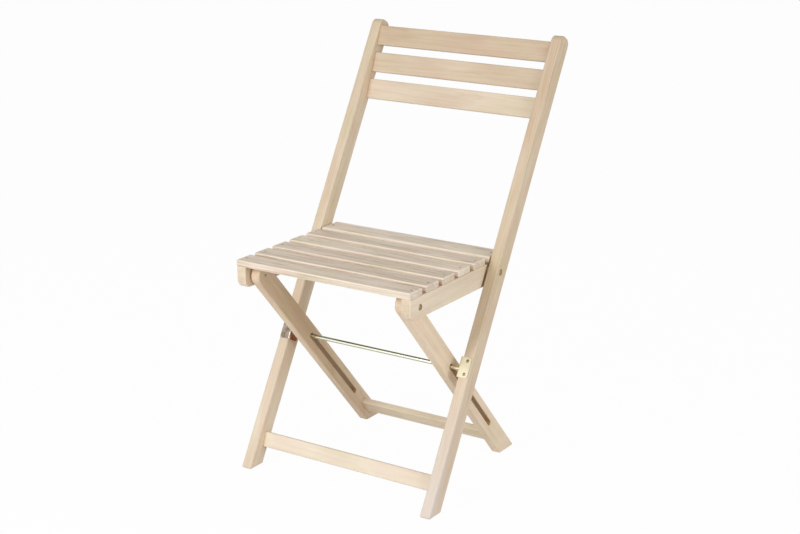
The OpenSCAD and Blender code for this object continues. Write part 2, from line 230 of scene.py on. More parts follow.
soft_box("key_box", (-0.7, -2.5, 1.3), (0, 0, 0.35), width=1.1, power=30)
soft_box("side_box", (2.8, -0.9, 1.2), (0, 0, 0.25), width=1.4, power=27)


# The wood: pale hardwood, lightly oiled and weathered. Each board was sawn from its own
# place in a log, so its growth rings, pores and clouds follow the attribute "grain", which
# holds the place of every point in that log, in metres, with the trunk along the third axis.
def hardwood(name, pale, deep, figure, shine):
    """Wood between two colours, with this much figure and shine. Three more attributes shade
    a board: "tone" darkens it, also as painted shade in holes and on shaded faces; a patch
    attribute darkens a place as painted shade, and bleaches it where its strength is
    negative; and "edge" lightens the arrises, partly as wear and partly as painted highlight."""
    rings_per_metre = 210
    ring_wander = 0.012
    middle_tone = 0.48
    lightest = 0.05
    pinkish = (0.98, 0.93, 0.92, 1)
    greenish = (0.95, 0.96, 0.88, 1)
    pore_and_shade_brown = (0.24, 0.18, 0.11, 1)
    washed_out = colour(230, 219, 213)
    material, pen = new_material(name)
    grain = pen.node("ShaderNodeAttribute", {"attribute_name": "grain"}, out="Vector")
    tone = pen.node("ShaderNodeAttribute", {"attribute_name": "tone"}, out="Fac")
    edge = pen.node("ShaderNodeAttribute", {"attribute_name": "edge"}, out="Fac")
    patch = pen.node("ShaderNodeAttribute", {"attribute_name": "shade_and_bleach"}, out="Vector")
    shade_and_bleach = patch.part(2)
    for off_middle in (patch.part(0), patch.part(1)):
        shade_and_bleach = shade_and_bleach * (1 - off_middle.unsigned().smooth(0, 1))
    # The patch's positive part is painted shade; its negative part bleaches the wood.
    painted_patch_shade = shade_and_bleach.maths("MAXIMUM", shade_and_bleach, 0)
    faded = painted_patch_shade - shade_and_bleach
    wander = grain.scaled(1, 1, 0.12).noise(14, 2.0) - 0.5
    radius = (grain.part(0) ** 2 + grain.part(1) ** 2) ** 0.5 + wander * ring_wander
    age = radius * rings_per_metre
    ring = age.maths("FRACT", age)
    late = ring.smooth(0.25, 0.92) * (1 - ring.smooth(0.93, 1.0))
    fibre = grain.scaled(1, 1, 0.018).noise(900, 3.0, 0.6)
    streak = grain.scaled(1, 1, 0.06).noise(150, 3.0, 0.55)
    dash_field = grain.scaled(1, 1, 0.05).noise(300, 2.0, 0.5)
    dash_area = grain.scaled(1, 1, 0.3).noise(30, 2.0, 0.5)
    dash = dash_field.smooth(0.58, 0.72) * dash_area.smooth(0.4, 0.6)
    pore_field = grain.scaled(1, 1, 0.035).noise(1500, 1.0, 0.5)
    pore = pore_field.smooth(0.64, 0.74) * streak.smooth(0.42, 0.6)
    cloud = grain.scaled(1, 1, 0.35).noise(28, 2.0, 0.5)
    drift = grain.scaled(1, 1, 0.35).noise(17, 1.0, 0.5)
    lines = late * 0.13 + streak.smooth(0.35, 0.7) * 0.20 + fibre.smooth(0.3, 0.75) * 0.12 + dash * 0.22
    # Painted shade deepens the colour, and the arris lightening, partly painted highlight, pales it.
    depth = lines * figure + drift.smooth(0.3, 0.7) * 0.22 + (tone - middle_tone) + painted_patch_shade - edge
    body = depth.maths("ADD", depth, lightest, clamp=True).blend(pale, deep)
    warm = (cloud.smooth(0.48, 0.66) * 0.7).blend(body, pinkish, "MULTIPLY")
    mossy = ((1 - cloud.smooth(0.34, 0.50)) * 0.8).blend(warm, greenish, "MULTIPLY")
    # Pores darken the wood towards dark brown, and so does painted shade in holes and patches.
    pores_and_painted_shade = (pore * 0.3 + dash * 0.1) * figure + (tone + painted_patch_shade).smooth(1.2, 2.6) * 0.8
    shade = faded.blend(pores_and_painted_shade.blend(mossy, pore_and_shade_brown), washed_out)
    gloss = 0.5 + fibre * 0.16 + pore * 0.1
    relief = fibre * 0.35 + streak * 0.25 - pore * 0.9 + late * 0.15
    bump = pen.node("ShaderNodeBump", None, {"Strength": 0.16, "Distance": 0.0006, "Height": relief})
    sockets = {"Base Color": shade, "Roughness": gloss, "Normal": bump, "Specular IOR Level": shine}
    shader = pen.node("ShaderNodeBsdfPrincipled", None, sockets)
    pen.node("ShaderNodeOutputMaterial", None, {"Surface": shader})
    return material


frame_wood = hardwood("frame_wood", colour(243, 228, 206), colour(197, 168, 131),
                      figure=0.7, shine=0.42)
leg_wood = hardwood("leg_wood", colour(243, 223, 197), colour(196, 164, 124),
                    figure=0.7, shine=0.42)
back_wood = hardwood("back_wood", colour(243, 229, 208), colour(201, 174, 143),
                     figure=0.55, shine=0.5)
seat_wood = hardwood("seat_wood", colour(249, 235, 217), colour(186, 163, 136),
                     figure=1.5, shine=0.55)


# The posts: two long straight sticks, planed square with eased arrises, rounded over at
# the top and sawn level at the foot. They lean back, and everything else hangs on them.
def outline(corners, radii, inset=0.0, steps=6):
    """A closed outline with round corners, as pairs of place and outward direction.
    The corners run anticlockwise; inset moves the whole outline inwards."""
    points = []
    count = len(corners)
    for i, radius in enumerate(radii):
        here = Vector(corners[i])
        back = (Vector(corners[i - 1]) - here).normalized()
        ahead = (Vector(corners[(i + 1) % count]) - here).normalized()
        half = math.acos(back.dot(ahead)) / 2
        centre = here + (back + ahead).normalized() * radius / math.sin(half)
        first = math.atan2(back.x, -back.y)
        sweep = math.pi - 2 * half
        for k in range(steps + 1):
            turn = first + sweep * k / steps
            way = Vector((math.cos(turn), math.sin(turn)))
            points.append((centre + way * (radius - inset), way))
    return points


def rectangle(low, high):
    """The four corners between the lowest and the highest."""
    return [(low[0], low[1]), (high[0], low[1]), (high[0], high[1]), (low[0], high[1])]


class Shell:
    """A closed mesh in the making, whose vertices know the direction that they face."""

    def __init__(self):
        self.work = bmesh.new()
        self.grain = self.work.verts.layers.float_vector.new("grain")
        self.tone = self.work.verts.layers.float.new("tone")
        self.edge = self.work.verts.layers.float.new("edge")
        self.shade_and_bleach = self.work.verts.layers.float_vector.new("shade_and_bleach")
        self.normals = []

    def ring(self, places, ways, edge=0.0):
        """A row of new vertices, each with its direction."""
        made = []
        for place, way in zip(places, ways):
            vert = self.work.verts.new(place)
            vert[self.edge] = edge
            made.append(vert)
            self.normals.append(Vector(way).normalized())
        return made

    def join(self, rings):
        """Quads between each ring and the next."""
        for low, high in zip(rings, rings[1:]):
            for i in range(len(low)):
                self.work.faces.new((low[i - 1], low[i], high[i], high[i - 1]))

    def fan(self, ring, centre, way):
        """Triangles from a ring to one new vertex in its middle."""
        middle = self.ring([centre], [way])[0]
        for i in range(len(ring)):
            self.work.faces.new((ring[i - 1], ring[i], middle))

    def fill(self, rings):
        """A flat face bounded by the first ring, with the others as its holes."""
        pairs = [(ring[i - 1], ring[i]) for ring in rings for i in range(len(ring))]
        edges = [self.work.edges.get(pair) for pair in pairs]
        bmesh.ops.triangle_fill(self.work, use_beauty=True, use_dissolve=False, edges=edges)

    def finish(self, name, material, place=None):
        """Turns every face outwards and makes an object of the shell."""
        self.work.verts.index_update()
        for face in self.work.faces:
            face.normal_update()
            outwards = sum((self.normals[vert.index] for vert in face.verts), Vector())
            if face.normal.dot(outwards) < 0:
                face.normal_flip()
        mesh = bpy.data.meshes.new(name)
        self.work.to_mesh(mesh)
        self.work.free()
        mesh.shade_smooth()
        if place:
            mesh.transform(place)
            turn = place.to_3x3()
            self.normals = [(turn @ normal).normalized() for normal in self.normals]
        mesh.normals_split_custom_set_from_vertices(self.normals)
        mesh.materials.append(material)
        made = bpy.data.objects.new(name, mesh)
        scene.collection.objects.link(made)
        return made


def band(middle, way, half_width):
    """How far a point is from the middle of a straight band, in half widths of the band."""
    return lambda point: (point - middle).dot(way) / half_width


def board(name, material, shape, thick, ease, place, slot=None, pockets=(), seed=0, tone=0.5,
          wear=0.1, shade_and_bleach=None, marked=()):
    """A board with eased edges, cut to the outline shape, a pair of corners and radii, out
    of stock of one thickness. Its second axis follows the grain. A slot is an outline too,
    and each pocket is a round blind hole: its middle, radius, depth and face, -1 or 1.
    The tone may be a pair, for the board's two ends. A patch of painted shade lies where two
    bands cross and has a strength, which is negative where the wood is bleached instead. Each
    marked face is given by its direction and a tone of its own, used here for painted shade and
    painted light. Cut ends are darker, and the insides of holes and of the slot are painted
    darker as painted shade. The wear lightens the arrises: partly real wear, partly painted highlight."""
    rounds = 4
    pocket_sides = 32
    lip = 0.2 * mm
    # The insides of the slot and of the holes are painted darker, as painted shade.
    slot_shade = 1.2
    bore_shade = 1.8
    nail_hole_shade = 2.4
    end_tone = 0.25
    widest_nail_hole = 3 * mm
    facing = 0.9
    shell = Shell()
    shaded_hollows = []
    faces = {-1: [], 1: []}
    contours = [(shape, 1)]
    if slot:
        contours.append((slot, -1))
    for (corners, radii), side in contours:
        rings = []
        for face, steps in ((-1, range(rounds + 1)), (1, range(rounds, -1, -1))):
            for k in steps:
                angle = math.pi / 2 * k / rounds
                height = face * (thick / 2 - ease * (1 - math.cos(angle)))
                places = []
                ways = []
                for point, way in outline(corners, radii, side * ease * (1 - math.sin(angle))):
                    places.append((point.x, point.y, height))
                    sideways = way * side * math.sin(angle)
                    ways.append((sideways.x, sideways.y, face * math.cos(angle)))
                # The rounded arrises are painted paler, partly as wear and partly as painted highlight.
                worn = wear * math.sin(2 * angle) if side > 0 else 0
                rings.append(shell.ring(places, ways, worn))
        shell.join(rings)
        faces[-1].append(rings[0])
        faces[1].append(rings[-1])
        if side < 0:
            shaded_hollows += [(vert, slot_shade) for ring in rings[2:-2] for vert in ring]
    turns = [math.tau * k / pocket_sides for k in range(pocket_sides)]
    circle = [(math.cos(turn), math.sin(turn)) for turn in turns]
    for (mid_x, mid_y), radius, deep, face in pockets:
        rings = []
        for grow, down, inward in ((lip, 0, 0), (0, lip, 1), (0, deep - lip, 1), (-lip, deep, 0)):
            reach = radius + grow
            height = face * (thick / 2 - down)
            places = [(mid_x + reach * x, mid_y + reach * y, height) for x, y in circle]
            ways = [(-inward * x, -inward * y, face * (1 - inward)) for x, y in circle]
            rings.append(shell.ring(places, ways))
        shell.join(rings)
        shell.fan(rings[-1], (mid_x, mid_y, face * (thick / 2 - deep)), (0, 0, face))
        faces[face].append(rings[0])
        hole_shade = bore_shade if radius > widest_nail_hole else nail_hole_shade
        shaded_hollows += [(vert, hole_shade) for ring in rings[1:] for vert in ring]
    for rims in faces.values():
        shell.fill(rims)
    chance = random.Random(seed)
    tilt = Euler([math.radians(chance.uniform(-1.6, 1.6)) for _ in range(3)]).to_matrix()
    shift = Vector((chance.uniform(-0.03, 0.03), chance.uniform(0.03, 0.09), chance.uniform(-3, 3)))
    tones = tone if isinstance(tone, tuple) else (tone, tone)
    levels = [vert.co.y for vert in shell.work.verts]
    start = min(levels)
    long = max(levels) - start
    for vert, normal in zip(shell.work.verts, shell.normals):
        vert[shell.grain] = tilt @ Vector((vert.co.x, vert.co.z, vert.co.y)) + shift
        part = (vert.co.y - start) / long
        end_grain = end_tone if abs(normal.y) > facing else 0
        vert[shell.tone] = tones[0] + (tones[1] - tones[0]) * part + end_grain
        for way, face_tone in marked:
            if normal.dot(way) > facing:
                vert[shell.tone] = face_tone
        if shade_and_bleach:
            first_band, second_band, strength = shade_and_bleach
            point = place @ vert.co
            vert[shell.shade_and_bleach] = (first_band(point), second_band(point), strength)
    for vert, depth in shaded_hollows:
        vert[shell.tone] = depth
    return shell.finish(name, material, place)


def axes(across, along, through, origin=(0, 0, 0)):
    """The place of a piece whose own first, second and third axes point these ways."""
    turn = Matrix((across, along, through)).transposed().to_4x4()
    return Matrix.Translation(origin) @ turn


def stands_for(piece, body, *nodes):
    """The piece rides on the body and takes the place of the frame's plain solids."""
    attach(piece, body)
    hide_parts(*nodes)


x_way = Vector((1, 0, 0))
y_way = Vector((0, 1, 0))
z_way = Vector((0, 0, 1))
joint_at = {joint["name"]: Vector(joint["pos_m"]) for joint in frame["joints"]}
seat_pin = joint_at["seat_fold"]
leg_pin = joint_at["leg_fold"]
sawn_corner = 3 * mm
bore_radius = 6 * mm
bore_deep = 2.4 * mm
lean = math.radians(29.65)
up_post = Vector((0, math.sin(lean), math.cos(lean)))
into_post = Vector((0, math.cos(lean), -math.sin(lean)))
post_low, post_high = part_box("right_post")
post_thick = post_high.x - post_low.x
post_deep = 36 * mm
post_long = 960 * mm
post_inner = post_low.x
top_radius = 14 * mm
rise = up_post * (post_long - top_radius) + into_post * (post_deep - top_radius)
foot_y = post_high.y - top_radius - rise.y
post_foot = [(0, 0), (post_deep, post_deep * math.tan(lean))]
post_head = [(post_deep, post_long), (0, post_long)]
post_shape = (post_foot + post_head, (sawn_corner, sawn_corner, top_radius, top_radius))
post_ease = 3 * mm
post_start = Vector((0, foot_y, 0))
bleached = (band(post_start, up_post, 0.3), band(post_start, into_post, 30 * mm), -0.65)
# Both posts are painted darker towards the top, as painted shade.
for side, name, seed, tone, shade_and_bleach in ((-1, "left_post", 81, (0.43, 0.72), None),
                                      (1, "right_post", 13, (0.57, 0.78), bleached)):
    middle = Vector((side * (post_inner + post_thick / 2), foot_y, 0))
    place = axes(into_post, up_post, x_way, middle)
    hinge = place.inverted() @ seat_pin
    pocket = ((hinge.x, hinge.y), bore_radius, bore_deep, side)
    post = board(name + "_wood", frame_wood, post_shape, post_thick, post_ease, place,
                 pockets=[pocket], seed=seed, tone=tone, wear=0, shade_and_bleach=shade_and_bleach)
    stands_for(post, "back_frame", name)


# The back slats: three flat bars let into the posts, a little more upright than they are.
# Geometry nodes repeat one bar up the back and give each its own place in the log.
def copies(name, template, places, material, seed, tones=(0.5,)):
    """Copies a piece to each place, every copy with its own tone and part of the log."""
    tree = bpy.data.node_groups.new(name, "GeometryNodeTree")
    tree.interface.new_socket("Geometry", in_out="OUTPUT", socket_type="NodeSocketGeometry")
    marks = bpy.data.meshes.new(name + "_marks")
    marks.from_pydata(places, [], [])
    own_tone = marks.attributes.new("own_tone", "FLOAT", "POINT")
    for i in range(len(places)):
        own_tone.data[i].value = tones[i % len(tones)]
    spots = bpy.data.objects.new(name + "_marks", marks)
    scene.collection.objects.link(spots)
    sockets = {"Piece": "NodeSocketObject", "Marks": "NodeSocketObject", "Seed": "NodeSocketInt",
               "Look": "NodeSocketMaterial"}
    wanted = {"Piece": template, "Marks": spots, "Seed": seed, "Look": material}
    names = {label: tree.interface.new_socket(label, in_out="INPUT", socket_type=kind).identifier
             for label, kind in sockets.items()}
    inputs = tree.nodes.new("NodeGroupInput")

    def add(kind, links, **settings):
        """A new node with its settings and the values or links of its sockets."""
        made = tree.nodes.new(kind)
        for key, value in settings.items():
            setattr(made, key, value)
        for key, value in links.items():
            if isinstance(value, bpy.types.NodeSocket):
                tree.links.new(value, made.inputs[key])
            else:
                made.inputs[key].default_value = value
        return made

    row = add("GeometryNodeObjectInfo", {"Object": inputs.outputs["Marks"]})
    pick = {"Min": (-0.02, -0.02, -2.5), "Max": (0.02, 0.02, 2.5), "Seed": inputs.outputs["Seed"]}
    shift = add("FunctionNodeRandomValue", pick, data_type="FLOAT_VECTOR")
    shifted = add("GeometryNodeStoreNamedAttribute",
                  {"Geometry": row.outputs["Geometry"], "Name": "log_shift", "Value": shift.outputs[0]},
                  data_type="FLOAT_VECTOR", domain="POINT")
    source = add("GeometryNodeObjectInfo", {"Object": inputs.outputs["Piece"]})
    spread = add("GeometryNodeInstanceOnPoints",
                 {"Points": shifted.outputs[0], "Instance": source.outputs["Geometry"]})
    solid = add("GeometryNodeRealizeInstances", {"Geometry": spread.outputs[0]})
    grain = add("GeometryNodeInputNamedAttribute", {"Name": "grain"}, data_type="FLOAT_VECTOR")
    moved = add("GeometryNodeInputNamedAttribute", {"Name": "log_shift"}, data_type="FLOAT_VECTOR")
    total = add("ShaderNodeVectorMath", {0: grain.outputs[0], 1: moved.outputs[0]}, operation="ADD")
    regrained = add("GeometryNodeStoreNamedAttribute",
                    {"Geometry": solid.outputs[0], "Name": "grain", "Value": total.outputs[0]},
                    data_type="FLOAT_VECTOR", domain="POINT")
    toned = add("GeometryNodeInputNamedAttribute", {"Name": "own_tone"}, data_type="FLOAT")
    retoned = add("GeometryNodeStoreNamedAttribute",
                  {"Geometry": regrained.outputs[0], "Name": "tone", "Value": toned.outputs[0]},
                  data_type="FLOAT", domain="POINT")
    dressed = add("GeometryNodeSetMaterial",
                  {"Geometry": retoned.outputs[0], "Material": inputs.outputs["Look"]})
    output = tree.nodes.new("NodeGroupOutput")
    tree.links.new(dressed.outputs[0], output.inputs[0])

    holder = bpy.data.objects.new(name, bpy.data.meshes.new(name))
    scene.collection.objects.link(holder)
    modifier = holder.modifiers.new(name, "NODES")
    modifier.node_group = tree
    for label, identifier in names.items():
        modifier[identifier] = wanted[label]
    bpy.context.view_layer.update()
    depsgraph = bpy.context.evaluated_depsgraph_get()
    finished = bpy.data.meshes.new_from_object(holder.evaluated_get(depsgraph), depsgraph=depsgraph)
    holder.modifiers.clear()
    holder.data = finished
    finished.name = name
    bpy.data.objects.remove(template)
    bpy.data.objects.remove(spots)
    return holder


def middle_of(node):
    """The middle of a node's box."""
    low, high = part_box(node)
    return (low + high) / 2


def flat_bar(width, half_long):
    """The outline of a bar of this width, sawn to length."""
    return rectangle((-width / 2, -half_long), (width / 2, half_long)), (sawn_corner,) * 4


bar_tilt = math.radians(8)
back_width = 40.5 * mm
back_thick = 11 * mm
bar_ease = 2.5 * mm
let_in = 1 * mm
up_back = Vector((0, math.sin(lean - bar_tilt), math.cos(lean - bar_tilt)))
into_back = Vector((0, math.cos(lean - bar_tilt), -math.sin(lean - bar_tilt)))
back_half = post_inner + let_in
back_shape = flat_bar(back_width, back_half)
place = axes(up_back, x_way, into_back)
bar = board("back_bar", back_wood, back_shape, back_thick, bar_ease, place, seed=21)
back_nodes = ("back_slat_bottom", "back_slat_middle", "back_slat_top")
back_slats = copies("back_slats", bar, [middle_of(node) for node in back_nodes], back_wood,
                    seed=6, tones=(0.6, 0.81, 0.95))
stands_for(back_slats, "back_frame", *back_nodes)


# The front stretcher: one flat bar of the same wood, let into the posts low between them.
# It keeps them apart, and stands as upright as the back slats.
bar_width = 30 * mm
bar_thick = 13 * mm
front_shape = flat_bar(bar_width, back_half)
place = axes(up_back, x_way, into_back, middle_of("front_stretcher"))
front_bar = board("front_bar", back_wood, front_shape, bar_thick, bar_ease, place, seed=32, tone=0.3)
stands_for(front_bar, "back_frame", "front_stretcher")


# The seat rails: two short deep sticks under the slats' ends, hinged on the posts at the
# back and carrying the legs at the front. Their lower corners are rounded over. Their tops
# under the slats and the left rail's inner face are painted dark as painted shade, and each
# has a painted shadow line where a post's front edge passes it.
rail_ease = 2.5 * mm
rail_round = 16 * mm
everywhere = band(Vector(), Vector(), 1)
# A painted shadow line on each rail, along the post's front edge.
post_shadow_line = (band(post_start + into_post * 2 * mm, into_post, 4.5 * mm), everywhere, 2.4)
# The rails' tops under the slats are painted dark, as painted shade.
shade_under_slats = (x_way, 1.1)
# The left rail's inner face, facing right, is painted darker as painted shade.
shaded_right_face = (-z_way, 0.75)
for side, name, seed, tone, marked in ((-1, "left_seat_rail", 52, 0.25, [shade_under_slats, shaded_right_face]),
                                       (1, "right_seat_rail", 44, 0.36, [shade_under_slats])):
    low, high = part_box(name)
    rail_radii = (rail_round, sawn_corner, sawn_corner, rail_round)
    shape = (rectangle((low.z, low.y), (high.z, high.y)), rail_radii)
    middle = Vector(((low.x + high.x) / 2, 0, 0))
    place = axes(z_way, y_way, -x_way, middle)
    pocket = ((leg_pin.z, leg_pin.y), bore_radius, bore_deep, -side)
    rail = board(name + "_wood", frame_wood, shape, high.x - low.x, rail_ease, place,
                 pockets=[pocket], seed=seed, tone=(tone, 0.5), shade_and_bleach=post_shadow_line, marked=marked)
    stands_for(rail, "seat", name)


# The seat slats: six boards nailed across the rails, the rearmost one wider. Every nail
# head lies in a shallow pocket painted dark inside as painted shade. The front edges are worn
# pale and lightened as painted highlight, and the front faces are painted paler as painted
# light against the shade in the gaps.
nail_x = middle_of("right_seat_rail").x
nail_pocket = 0.5 * mm
nail_hole = 2.7 * mm
slat_corner = 2.6 * mm
slat_ease = 2.5 * mm
# The slats' front faces are painted paler, as painted light.
painted_light_front = (-x_way, 0)


def seat_board(name, node, middle, seed):
    """A board of this slat's size round its middle, with the pockets of its two nails."""
    low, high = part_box(node)
    half = (high - low) / 2
    shape = (rectangle((-half.y, -half.x), (half.y, half.x)), (slat_corner,) * 4)
    pockets = [((0, side * nail_x), nail_hole, nail_pocket, -1) for side in (-1, 1)]
    place = axes(y_way, x_way, -z_way, middle)
    return board(name, seat_wood, shape, high.z - low.z, slat_ease, place, pockets=pockets,
                 seed=seed, tone=0.24, wear=0.5, marked=[painted_light_front])


slat_nodes = [f"seat_slat_{i}" for i in range(1, 7)]
slat = seat_board("seat_board", "seat_slat_1", (0, 0, 0), 51)
front_slats = copies("seat_slats", slat, [middle_of(node) for node in slat_nodes[:5]], seat_wood,
                     seed=8, tones=(0.35, 0.48, 0.45, 0.26, 0.38))
stands_for(front_slats, "seat", *slat_nodes[:5])
rear_slat = seat_board("seat_slat_6_wood", "seat_slat_6", middle_of("seat_slat_6"), 56)
stands_for(rear_slat, "seat", "seat_slat_6")


# The legs: they hang from the rails at the seat's front and cross between the posts. A
# long slot in each slides on the rod as the chair folds, and stops it when it is open. The
# left leg's inner face is painted darker below the seat, most along a slanting line, as
# painted shade.
rod_low, rod_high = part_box("guide_rod")
rod_at = Vector((0, (rod_low.y + rod_high.y) / 2, (rod_low.z + rod_high.z) / 2))
rod_radius = (rod_high.z - rod_low.z) / 2
slot_half = rod_radius + 0.3 * mm
leg_half = 20 * mm
nearly_full = 0.999
leg_lean = math.atan2(rod_at.y - leg_pin.y, leg_pin.z - rod_at.z)
across_leg = Vector((0, math.cos(leg_lean), math.sin(leg_lean)))
up_leg = Vector((0, -math.sin(leg_lean), math.cos(leg_lean)))
fold = math.radians(frame["joints"][0]["range_deg"][1])
folded_pin = seat_pin + Matrix.Rotation(-fold, 3, "X") @ (leg_pin - seat_pin)
slot_top = -(rod_at - leg_pin).length
slot_end = -(rod_at - folded_pin).length


def sole(across):
    """How far up the leg its edge at this distance from the middle reaches the ground."""
    return -(leg_pin.z + across * math.sin(leg_lean)) / math.cos(leg_lean)


leg_sole = [(-leg_half, sole(-leg_half)), (leg_half, sole(leg_half))]
leg_head = [(leg_half, leg_half), (-leg_half, leg_half)]
head_round = leg_half * nearly_full
leg_shape = (leg_sole + leg_head, (sawn_corner, sawn_corner, head_round, head_round))
slot_corners = rectangle((-slot_half, slot_end - slot_half), (slot_half, slot_top + slot_half))
slot_shape = (slot_corners, (slot_half * nearly_full,) * 4)
leg_ease = 2.5 * mm
leg_low, leg_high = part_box("right_leg")
leg_thick = leg_high.x - leg_low.x
leg_inner = leg_low.x
# The left leg's inner face is painted darker, most along a slanting line, as painted shade.
left_leg_shade = (band(leg_pin - up_leg * 0.2, up_leg - across_leg * 5, 0.5),
              band(Vector((-leg_inner, 0, 0)), x_way, 6 * mm), 0.52)
for side, name, seed, tone, shade_and_bleach in ((-1, "left_leg", 103, 0.4, left_leg_shade),
                                      (1, "right_leg", 122, 0.3, None)):
    middle = Vector((side * (leg_inner + leg_thick / 2), leg_pin.y, leg_pin.z))
    place = axes(across_leg, up_leg, x_way, middle)
    leg = board(name + "_wood", leg_wood, leg_shape, leg_thick, leg_ease, place, slot_shape,
                seed=seed, tone=tone, shade_and_bleach=shade_and_bleach)
    stands_for(leg, "legs", name)


# The rear stretcher: a flat bar of the same section as the front one, let into the legs
# near the ground. It is more upright than they are.
rear_half = leg_inner + let_in
rear_shape = flat_bar(bar_width, rear_half)
rear_lean = leg_lean - bar_tilt
up_rear = Vector((0, -math.sin(rear_lean), math.cos(rear_lean)))
into_rear = Vector((0, math.cos(rear_lean), math.sin(rear_lean)))
place = axes(up_rear, x_way, into_rear, middle_of("rear_stretcher"))
rear_bar = board("rear_bar", frame_wood, rear_shape, bar_thick, bar_ease, place, seed=76, tone=0.45)
stands_for(rear_bar, "legs", "rear_stretcher")


# The rod: a bright steel bar between the posts, with a pale yellow zinc plating. Two dark
# lines along it are painted reflections, and its right end is tinted golden as a painted
# reflection. All turned pieces are made the same way, from half their outline.
def plated(name, pale, deep, rough, wear, lines=()):
    """Plated metal, cloudy and a little rubbed. Each line is a tinted stripe at one place on
    an axis, 0 to 2, with the place, a half width, a strength and its tint."""
    bare_metal = (0.60, 0.57, 0.50, 1)
    material, pen = new_material(name)
    spot = pen.node("ShaderNodeTexCoord", out="Object")
    cloud = spot.noise(60, 3.0, 0.6)
    grit = spot.noise(1400, 2.0, 0.5)
    rub = spot.noise(240, 3.0, 0.6, 0.4).smooth(0.52, 0.75)
    shade = cloud.smooth(0.3, 0.7).blend(pale, deep)
    worn = (rub * wear).blend(shade, bare_metal)
    for axis, level, half_width, strength, tint in lines:
        away = (spot.part(axis) - level).unsigned() / half_width
        worn = ((1 - away.smooth(0.4, 1)) * strength).blend(worn, tint)
    bump = pen.node("ShaderNodeBump", None, {"Strength": 0.12, "Distance": 0.0002, "Height": grit})
    sockets = {"Base Color": worn, "Roughness": rough + cloud * 0.1, "Normal": bump, "Metallic": 1.0}
    shader = pen.node("ShaderNodeBsdfPrincipled", None, sockets)
    pen.node("ShaderNodeOutputMaterial", None, {"Surface": shader})
    return material


def turned(name, profile, places, material, carve=None, hollow=False, around=48):
    """A piece turned about its third axis, once at each place. The profile is a list of
    radius, distance and the two parts of the outward direction; carve sinks its surface.
    A hollow piece is a ring, whose profile closes on itself."""
    angles = [math.tau * k / around for k in range(around)]
    circle = [(math.cos(angle), math.sin(angle)) for angle in angles]
    shell = Shell()
    for place in places:
        turn = place.to_3x3()
        rings = []
        for radius, along, out, up in profile:
            spots = []
            ways = []
            for x, y in circle:
                sunk = carve(radius * x, radius * y, along) if carve else 0
                spots.append(place @ Vector((radius * x, radius * y, along + sunk)))
                ways.append(turn @ Vector((out * x, out * y, up)))
            rings.append(shell.ring(spots, ways))
        if hollow:
            shell.join(rings + rings[:1])
            continue
        shell.join(rings)
        for ring, (_, along, _, up) in ((rings[0], profile[0]), (rings[-1], profile[-1])):
            sunk = carve(0, 0, along) if carve else 0
            shell.fan(ring, place @ Vector((0, 0, along + sunk)), turn @ Vector((0, 0, up)))
    return shell.finish(name, material)


# Painted reflections: dark stripes along the rod's top and lower side, and a golden tint near its right
# end.
top_dark_reflection = (2, rod_at.z + rod_radius, 0.5 * rod_radius, 0.85, colour(92, 96, 74))
low_dark_reflection = (2, rod_at.z - 0.45 * rod_radius, 0.45 * rod_radius, 0.7, colour(110, 114, 88))
golden_reflection_end = (0, post_inner - 11 * mm, 16 * mm, 0.4, colour(238, 218, 156))
yellow_zinc = plated("yellow_zinc", colour(254, 254, 240), colour(250, 250, 224), rough=0.08, wear=0.04,
                     lines=(top_dark_reflection, low_dark_reflection, golden_reflection_end))
rod_bevel = 0.8 * mm
rod_cut = rod_radius - rod_bevel
rod_half = (rod_high.x - rod_low.x) / 2
rod_profile = [(rod_cut, 0, 0, -1), (rod_cut, 0.01 * mm, 0.7, -0.7),
               (rod_radius, rod_bevel, 0.7, -0.7), (rod_radius, 0.9 * mm, 1, 0)]
rod_profile += [(radius, 2 * rod_half - along, out, -up)
                for radius, along, out, up in reversed(rod_profile)]
rod_start = rod_at - Vector((rod_half, 0, 0))
along_x = axes(y_way, z_way, x_way, rod_start)
stands_for(turned("rod", rod_profile, [along_x], yellow_zinc), "back_frame", "guide_rod")


# The brackets: one bent steel plate on each post. Its front leaf carries two screws, and its
# other leaf stands beside the post's inner face and holds the rod. The left one is dull, and
# the inner face of its side leaf is tinted orange-brown as a painted reflection of the wood.
bracket_up = 2.5 * mm
plate_thick = 2 * mm
plate_bend = 2 * mm
plate_tall = 40 * mm
front_leaf = 20 * mm
side_leaf = 22 * mm
plate_corner = 4 * mm
plate_edge = 0.35 * mm
plate_steps = 120


def beside_rod(x):
    """The middle of the bracket's height on the posts' front plane, at this x."""
    low_end = Vector((x, foot_y, 0))
    return low_end + up_post * ((rod_at - low_end).dot(up_post) + bracket_up)


